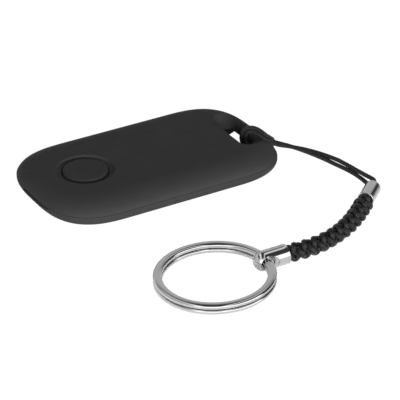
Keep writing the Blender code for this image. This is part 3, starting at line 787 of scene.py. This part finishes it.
def end_cap():
    """A domed sleeve with the ring's eye across its closed end."""
    eye = joint_point("ring_swing")
    reach = np.linalg.norm(eye - CAP_MOUTH)
    dome = reach + EYE_TO_DOME
    profile = [(0.0, CAP_RADIUS - 0.14)]
    profile += [(0.03, CAP_RADIUS - 0.06), (0.1, CAP_RADIUS - 0.015), (0.2, CAP_RADIUS)]
    profile += [(dome * share, CAP_RADIUS) for share in (0.2, 0.4, 0.6, 0.8)]
    for i in range(25):
        angle = i * pi / 2 / 25
        profile.append((dome + CAP_RADIUS * sin(angle), CAP_RADIUS * cos(angle)))
    profile.append((dome + CAP_RADIUS * 0.9995, 0.06))
    surface = axial(CAP_MOUTH, eye, profile, 160)
    made = new_object("end_cap_fine", surface[0], surface[1])
    bore_end = reach - EYE_RADIUS - 0.5
    bore = [(-1, CAP_BORE + 0.1), (0.02, CAP_BORE + 0.1), (0.14, CAP_BORE), (bore_end, CAP_BORE)]
    cut(made, axial(CAP_MOUTH, eye, bore, 96))
    across = np.array(joint_named("ring_swing")["axis"], float)
    half = EYE_WAIST / 2
    hole = [(-4.0, EYE_RADIUS + 2.2)]
    for degrees in range(80, -10, -10):
        flare = 1 - cos(radians(degrees))
        hole.append((-half - EYE_ROUNDING * sin(radians(degrees)),
                     EYE_RADIUS + EYE_ROUNDING * flare))
    hole += [(-distance, radius) for distance, radius in reversed(hole)]
    cut(made, axial(eye, eye + across, hole, 96))
    clean(made, 32)
    return made


RING_WIDTH = 1.85
RING_HEIGHT = 1.06
RING_GAP = 0.05
RING_STEPS = 720
RING_TILT = radians(2.2)
RING_RAMP = radians(17)  # the turn in which the wire steps up
RING_OUTER = 12.5
RING_CENTRE = np.array((-10.08, -45.45, 0.0))


def ring_section(steps=28):
    """A flattened wire: nearly level above and below, and full round at its sides."""
    points = []
    for i in range(steps):
        angle = tau * (i / steps - 0.25)
        across = copysign(abs(cos(angle)) ** 0.65, cos(angle))
        above = copysign(abs(sin(angle)) ** 0.8, sin(angle))
        points.append((RING_WIDTH / 2 * across, RING_HEIGHT / 2 * above))
    return np.array(points)


def split_ring():
    """Two flat turns of one wire, which steps from the lower to the upper inside the eye."""
    pitch = RING_HEIGHT + RING_GAP
    mean = RING_OUTER - RING_WIDTH / 2
    toward = joint_point("ring_swing") - RING_CENTRE
    heading = np.arctan2(toward[1], toward[0])
    centre_z = RING_HEIGHT + RING_GAP / 2 + RING_OUTER * sin(RING_TILT)
    towards = np.array((cos(heading), sin(heading), 0.0))
    section = ring_section()
    first = RING_RAMP * 0.75
    last = 2 * tau - RING_RAMP * 0.75
    rings = []
    along = []
    for i in range(RING_STEPS + 1):
        turned_by = first + (last - first) * i / RING_STEPS
        share = smoothstep((turned_by - tau + RING_RAMP / 2) / RING_RAMP)
        level = pitch * (share - 0.5)
        angle = heading + turned_by
        ends = min(turned_by - first, last - turned_by) * mean
        size = 0.86 + 0.14 * smoothstep(ends / 0.2)  # eases the cut ends
        ring = []
        for r, z in section:
            radius = mean + r * size
            flat = np.array((radius * cos(angle), radius * sin(angle), level + z * size))
            rise = np.dot(flat, towards)
            tipped = rise * cos(RING_TILT) - flat[2] * sin(RING_TILT)
            height = rise * sin(RING_TILT) + flat[2] * cos(RING_TILT)
            moved = flat + (tipped - rise) * towards
            ring.append(RING_CENTRE + (moved[0], moved[1], centre_z + height))
        rings.append(ring)
        along.append(turned_by * mean)
    along.append(along[-1])
    return new_object("split_ring_fine", *skin(rings, along=np.array(along)), smooth=55)


# ---------------------------------------------------------------- materials


class Nodes:
    """Short-hand for building the node tree of a material or of the world."""

    def __init__(self, owner):
        self.tree = owner.node_tree
        self.shader = self.tree.nodes.get("Principled BSDF")

    def add(self, kind, **values):
        node = self.tree.nodes.new(kind)
        for key, value in values.items():
            if hasattr(node, key):
                setattr(node, key, value)
            else:
                node.inputs[key.replace("_", " ")].default_value = value
        return node

    def link(self, source, target):
        self.tree.links.new(source, target)

    def math(self, operation, first, second=None):
        node = self.add("ShaderNodeMath", operation=operation)
        for socket, value in zip(node.inputs, (first, second)):
            if value is None:
                continue
            if isinstance(value, (int, float)):
                socket.default_value = value
            else:
                self.link(value, socket)
        return node.outputs[0]

    def noise(self, vector, size, detail=3.0):
        """Noise with features of about size millimetres."""
        node = self.add("ShaderNodeTexNoise", Scale=1 / (size * MM), Detail=detail)
        self.link(vector, node.inputs["Vector"])
        return node.outputs["Fac"]

    def spread(self, value, low, high, from_low=0.3, from_high=0.7, interpolation="LINEAR"):
        node = self.add("ShaderNodeMapRange", interpolation_type=interpolation)
        self.link(value, node.inputs["Value"])
        for name, number in (
            ("From Min", from_low), ("From Max", from_high), ("To Min", low), ("To Max", high),
        ):
            node.inputs[name].default_value = number
        return node.outputs["Result"]

    def bump(self, height, depth, strength=1.0):
        """Bump of depth millimetres."""
        node = self.add("ShaderNodeBump", Strength=strength, Distance=depth * MM)
        self.link(height, node.inputs["Height"])
        previous = self.shader.inputs["Normal"]
        if previous.is_linked:
            self.link(previous.links[0].from_socket, node.inputs["Normal"])
        self.link(node.outputs["Normal"], previous)


def finish(
    name, colour, roughness, metallic=0.0, grain=0.12, depth=0.004, uneven=0.04, level=0.5
):
    """A solid finish with fine grain, slightly uneven gloss and slightly uneven tone."""
    made = bpy.data.materials.new(name)
    made.use_nodes = True
    nodes = Nodes(made)
    shader = nodes.shader
    shader.inputs["Metallic"].default_value = metallic
    shader.inputs["Specular IOR Level"].default_value = level
    place = nodes.add("ShaderNodeTexCoord").outputs["Object"]
    blotch = nodes.noise(place, 6.0)
    gloss = nodes.spread(blotch, roughness - uneven, roughness + uneven)
    nodes.link(gloss, shader.inputs["Roughness"])
    mix = nodes.add("ShaderNodeMix", data_type="RGBA")
    nodes.link(nodes.spread(nodes.noise(place, 2.5), 0.0, 1.0), mix.inputs[0])
    mix.inputs[6].default_value = (*(channel * 0.96 for channel in colour), 1)
    mix.inputs[7].default_value = (*(channel * 1.04 for channel in colour), 1)
    nodes.link(mix.outputs[2], shader.inputs["Base Color"])
    nodes.bump(nodes.noise(place, grain, 2.0), depth)
    return made


def polished(name, colour, roughness):
    """Bright plating: smooth, with painted shade that darkens its colour in narrow gaps."""
    made = finish(name, colour, roughness, 1.0, uneven=0.015, depth=0.0)
    nodes = Nodes(made)
    made.node_tree.links.remove(nodes.shader.inputs["Normal"].links[0])
    # Painted shade: ambient occlusion darkens the base colour in narrow gaps, such as between the ring's turns.
    gap = nodes.add("ShaderNodeAmbientOcclusion", samples=8, Distance=0.5 * MM)
    shade = nodes.spread(gap.outputs["AO"], 0.12, 1.0, 0.25, 0.75)
    mix = nodes.add("ShaderNodeMix", data_type="RGBA", blend_type="MULTIPLY")
    mix.inputs[0].default_value = 1.0
    nodes.link(nodes.shader.inputs["Base Color"].links[0].from_socket, mix.inputs[6])
    nodes.link(shade, mix.inputs[7])
    nodes.link(mix.outputs[2], nodes.shader.inputs["Base Color"])
    return made


def yarn(name, colour, roughness, strands, slant, depth, level=0.5):
    """Twisted yarn: fine ridges that run along the surface's own length."""
    made = finish(name, colour, roughness, 0.0, 0.08, 0.006, 0.06, level)
    nodes = Nodes(made)
    uv = nodes.add("ShaderNodeUVMap", uv_map="along_around").outputs["UV"]
    split = nodes.add("ShaderNodeSeparateXYZ")
    nodes.link(uv, split.inputs[0])
    along, around = split.outputs["X"], split.outputs["Y"]
    turn = nodes.math("ADD", nodes.math("MULTIPLY", around, strands),
                      nodes.math("MULTIPLY", along, slant))
    place = nodes.add("ShaderNodeTexCoord").outputs["Object"]
    wobble = nodes.math("MULTIPLY", nodes.noise(place, 0.5, 2.0), 0.5)
    ridge = nodes.math("SINE", nodes.math("MULTIPLY", nodes.math("ADD", turn, wobble), tau))
    nodes.bump(ridge, depth)
    return made


def materials():
    return {
        "shell_plastic": finish("shell_plastic", (0.0232, 0.0232, 0.0237), 0.52, level=0.12),
        "button_plastic": finish("button_plastic", (0.0200, 0.0200, 0.0205), 0.48, level=0.12),
        "board": finish("board", (0.008, 0.055, 0.028), 0.32, grain=0.3, depth=0.01),
        "chip": finish("chip", (0.022, 0.022, 0.024), 0.5, depth=0.008),
        "ceramic": finish("ceramic", (0.62, 0.56, 0.46), 0.45, depth=0.006),
        "led_lens": finish("led_lens", (0.9, 0.86, 0.62), 0.12, depth=0.0),
        "crystal_can": finish("crystal_can", (0.72, 0.70, 0.64), 0.28, 1.0, depth=0.004),
        "cell_steel": finish("cell_steel", (0.74, 0.74, 0.75), 0.24, 1.0, depth=0.002),
        "cell_seal": finish("cell_seal", (0.55, 0.56, 0.58), 0.5),
        "contact_spring": finish("contact_spring", (0.70, 0.66, 0.56), 0.25, 1.0, depth=0.003),
        "brass_plate": finish("brass_plate", (0.80, 0.60, 0.27), 0.28, 1.0, depth=0.004),
        "wire": finish("wire", (0.02, 0.02, 0.022), 0.45, depth=0.0),
        "foam": finish("foam", (0.02, 0.02, 0.021), 0.95, grain=0.5, depth=0.08),
        "nylon_cord": yarn("nylon_cord", (0.010, 0.010, 0.0105), 0.45, 8, 2.0, 0.04, 0.5),
        "nylon_braid": yarn("nylon_braid", (0.0035, 0.0035, 0.0037), 0.20, 12, 0.7, 0.03, 0.55),
        "polished_metal": polished("polished_metal", (0.80, 0.80, 0.81), 0.08),
    }


# ---------------------------------------------------------------- stage

CAMERA_AZIMUTH = -30.64
CAMERA_ELEVATION = 29.33
CAMERA_DISTANCE = 484.0
CAMERA_TARGET = np.array((4.83, -14.38, 0.0))
CAMERA_LENS = 202.95


def camera():
    azimuth = radians(CAMERA_AZIMUTH)
    elevation = radians(CAMERA_ELEVATION)
    away = np.array((
        sin(azimuth) * cos(elevation), -cos(azimuth) * cos(elevation), sin(elevation),
    ))
    place = Vector((CAMERA_TARGET + CAMERA_DISTANCE * away) * MM)
    data = bpy.data.cameras.new("camera")
    data.lens = CAMERA_LENS
    data.sensor_width = 36.0
    data.clip_start = 0.01
    made = bpy.data.objects.new("camera", data)
    bpy.context.scene.collection.objects.link(made)
    made.location = place
    aim = Vector(CAMERA_TARGET * MM) - place
    made.rotation_euler = aim.to_track_quat("-Z", "Y").to_euler()
    bpy.context.scene.camera = made


# Brightness round the studio in the camera's plane: degrees from its horizon, over the top
STRIP = (
    (0, 1.9), (28, 1.9), (40, 1.5), (48, 0.6), (60, 0.13), (80, 0.05), (128, 0.05), (139, 0.25),
    (147, 0.56), (165, 0.58), (180, 0.62),
)
BESIDE = (0.65, 1.9, 0.02)  # brightness to the left, to the right in front, to the right behind
OVERHEAD = 0.04
PANEL = 0.95  # two bright panels overhead, given by how far to the side they lie
LEFT_PANEL = (-0.60, -0.30)
RIGHT_PANEL = (0.13, 0.27)
PANEL_BLUR = 0.06


def studio():
    """Soft light from a bright front and floor, a dim ceiling and a grey back."""
    world = bpy.data.worlds.new("studio")
    bpy.context.scene.world = world
    world.use_nodes = True
    nodes = Nodes(world)
    nodes.tree.nodes.clear()

    def ease(value, from_low, from_high, to_low, to_high):
        return nodes.spread(value, to_low, to_high, from_low, from_high, "SMOOTHSTEP")

    def band(value, low, high):
        rise = ease(value, low - PANEL_BLUR, low + PANEL_BLUR, 0.0, 1.0)
        fall = ease(value, high - PANEL_BLUR, high + PANEL_BLUR, 1.0, 0.0)
        return nodes.math("MULTIPLY", rise, fall)

    def dot(vector, fixed):
        node = nodes.add("ShaderNodeVectorMath", operation="DOT_PRODUCT")
        nodes.link(vector, node.inputs[0])
        node.inputs[1].default_value = fixed
        return node.outputs["Value"]

    azimuth = radians(CAMERA_AZIMUTH)
    direction = nodes.add("ShaderNodeTexCoord").outputs["Generated"]
    front = dot(direction, (sin(azimuth), -cos(azimuth), 0))
    side = dot(direction, (cos(azimuth), sin(azimuth), 0))
    up = dot(direction, (0, 0, 1))
    above = nodes.math("MAXIMUM", up, 0.0)
    sweep = nodes.math("DIVIDE", nodes.math("ARCTAN2", above, front), pi)
    ramp = nodes.add("ShaderNodeValToRGB")
    ramp.color_ramp.interpolation = "EASE"
    elements = ramp.color_ramp.elements
    while len(elements) > 1:
        elements.remove(elements[-1])
    elements[0].position = 0
    peak = max(value for _, value in STRIP)
    for i, (angle, value) in enumerate(STRIP):
        element = elements[0] if i == 0 else elements.new(angle / 180)
        element.position = angle / 180
        element.color = (value / peak, value / peak, value / peak, 1)
    nodes.link(sweep, ramp.inputs[0])
    strip = nodes.math("MULTIPLY", ramp.outputs[0], peak)
    left, right, behind = BESIDE
    ahead = ease(front, -0.1, 0.1, behind, right)
    beside = ease(side, -0.1, 0.1, left, 0.0)
    to_right = nodes.math("MULTIPLY", ease(side, -0.1, 0.1, 0.0, 1.0), ahead)
    beside = nodes.math("ADD", beside, to_right)
    low = ease(up, 0.55, 0.68, 1.0, 0.0)
    beside = nodes.math("ADD", nodes.math("MULTIPLY", beside, low), OVERHEAD)
    panels = nodes.math("ADD", band(side, *LEFT_PANEL), band(side, *RIGHT_PANEL))
    panels = nodes.math("MULTIPLY", panels, ease(up, 0.6, 0.75, 0.0, PANEL))
    strip = nodes.math("ADD", strip, panels)
    share = ease(nodes.math("ABSOLUTE", side), 0.5, 0.7, 0.0, 1.0)
    inner = nodes.math("MULTIPLY", strip, nodes.math("SUBTRACT", 1.0, share))
    soft = nodes.math("ADD", inner, nodes.math("MULTIPLY", share, beside))
    light = nodes.add("ShaderNodeBackground")
    nodes.link(soft, light.inputs["Strength"])
    seen = nodes.add("ShaderNodeBackground")
    path = nodes.add("ShaderNodeLightPath")
    mix = nodes.add("ShaderNodeMixShader")
    nodes.link(path.outputs["Is Camera Ray"], mix.inputs[0])
    nodes.link(light.outputs[0], mix.inputs[1])
    nodes.link(seen.outputs[0], mix.inputs[2])
    nodes.link(mix.outputs[0], nodes.add("ShaderNodeOutputWorld").inputs["Surface"])
    seen.inputs["Color"].default_value = (1, 1, 1, 1)
    seen.inputs["Strength"].default_value = 1.0


FILL = 8.6
FILL_HEADING = (0.2, 0.97, -0.10)


def fill_light():
    """A low, soft light from the front, which shades the matte pieces only."""
    data = bpy.data.lights.new("fill", "SUN")
    data.energy = FILL
    data.angle = radians(30)
    made = bpy.data.objects.new("fill", data)
    bpy.context.scene.collection.objects.link(made)
    made.rotation_euler = Vector(FILL_HEADING).to_track_quat("-Z", "Y").to_euler()
    made.visible_glossy = False


FLOOR_SIDE = 1200.0
FLOOR_Z = -0.15  # just below the ring's lowest point
FLOOR_SEEN = 0.97
FLOOR_SHADE = 0.10
FLOOR_PAINTED_SHADE = (0.9, 0.35)  # painted shade in the floor's colour: near the object, and darker away to its right
FLOOR_PAINTED_SHADE_X = (40, 55)


def floor():
    """A white sweep: near white to the camera, but to the object a matte floor with painted shade to its right."""
    corners = ((-1, -1), (1, -1), (1, 1), (-1, 1))
    points = [(FLOOR_SIDE * x, FLOOR_SIDE * y, FLOOR_Z) for x, y in corners]
    made = new_object("floor", points, [(0, 1, 2, 3)])
    material = bpy.data.materials.new("floor")
    material.use_nodes = True
    nodes = Nodes(material)
    tree = material.node_tree
    glow = nodes.add("ShaderNodeEmission", Strength=FLOOR_SEEN)
    trace = nodes.add("ShaderNodeBsdfDiffuse", Color=(*[FLOOR_SHADE] * 3, 1))
    seen = nodes.add("ShaderNodeAddShader")
    nodes.link(glow.outputs[0], seen.inputs[0])
    nodes.link(trace.outputs[0], seen.inputs[1])
    matte = nodes.add("ShaderNodeBsdfDiffuse")
    split = nodes.add("ShaderNodeSeparateXYZ")
    nodes.link(nodes.add("ShaderNodeNewGeometry").outputs["Position"], split.inputs[0])
    # Painted shade: the floor's colour, seen only in reflections and bounce light, darkens away to the object's
    # right.
    tone = nodes.spread(split.outputs["X"], *FLOOR_PAINTED_SHADE, *(x * MM for x in FLOOR_PAINTED_SHADE_X))
    nodes.link(tone, matte.inputs["Color"])
    mix = nodes.add("ShaderNodeMixShader")
    nodes.link(nodes.add("ShaderNodeLightPath").outputs["Is Camera Ray"], mix.inputs[0])
    nodes.link(matte.outputs[0], mix.inputs[1])
    nodes.link(seen.outputs[0], mix.inputs[2])
    tree.nodes.remove(nodes.shader)
    nodes.link(mix.outputs[0], tree.nodes["Material Output"].inputs["Surface"])
    made.data.materials.append(material)


# ---------------------------------------------------------------- assembly


def dress(made, slot, looks):
    made.data.materials.clear()
    made.data.materials.append(looks[slot])


def main():
    looks = materials()
    slots = {part["node"]: part["material_slot"] for part in frame["record"]["subparts"]}
    replaced = {
        "tag": ((upper_shell, ("upper_shell",)), (hitch, ("cord_hitch",))),
        "cover": ((back_cover, ("back_cover",)),),
        "button": ((button, ("button_cap",)),),
        "ferrule": ((ferrule, ("cord_ferrule",)),),
        "end_cap": ((end_cap, ("end_cap",)),),
        "ring": ((split_ring, ("split_ring",)),),
    }
    gone = set()
    for body, builds in replaced.items():
        for build, nodes in builds:
            made = build()
            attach(made, body)
            dress(made, slots[nodes[0]], looks)
            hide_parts(*nodes)
            gone.update(nodes)
    runs = ("cord_upper_near", "cord_lower_near", "cord_upper_far", "cord_lower_far")
    bending = [(made, "nylon_cord", (node,)) for made, node in zip(cords(), runs)]
    halves = (("braid_upper", "braid_middle"), ("braid_lower",))
    bending += [(made, "nylon_braid", nodes) for made, nodes in zip(braid_pieces(), halves)]
    for made, slot, nodes in bending:
        dress(made, slot, looks)
        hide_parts(*nodes)
        gone.update(nodes)
    for name, node in frame["nodes"].items():
        if name not in gone:
            dress(node, slots[name], looks)
            node.data.shade_smooth()
            node.data.set_sharp_from_angle(angle=radians(30))
    floor()
    fill_light()
    studio()
    camera()
    scene = bpy.context.scene
    scene.view_settings.view_transform = "Standard"
    scene.view_settings.look = "None"


main()
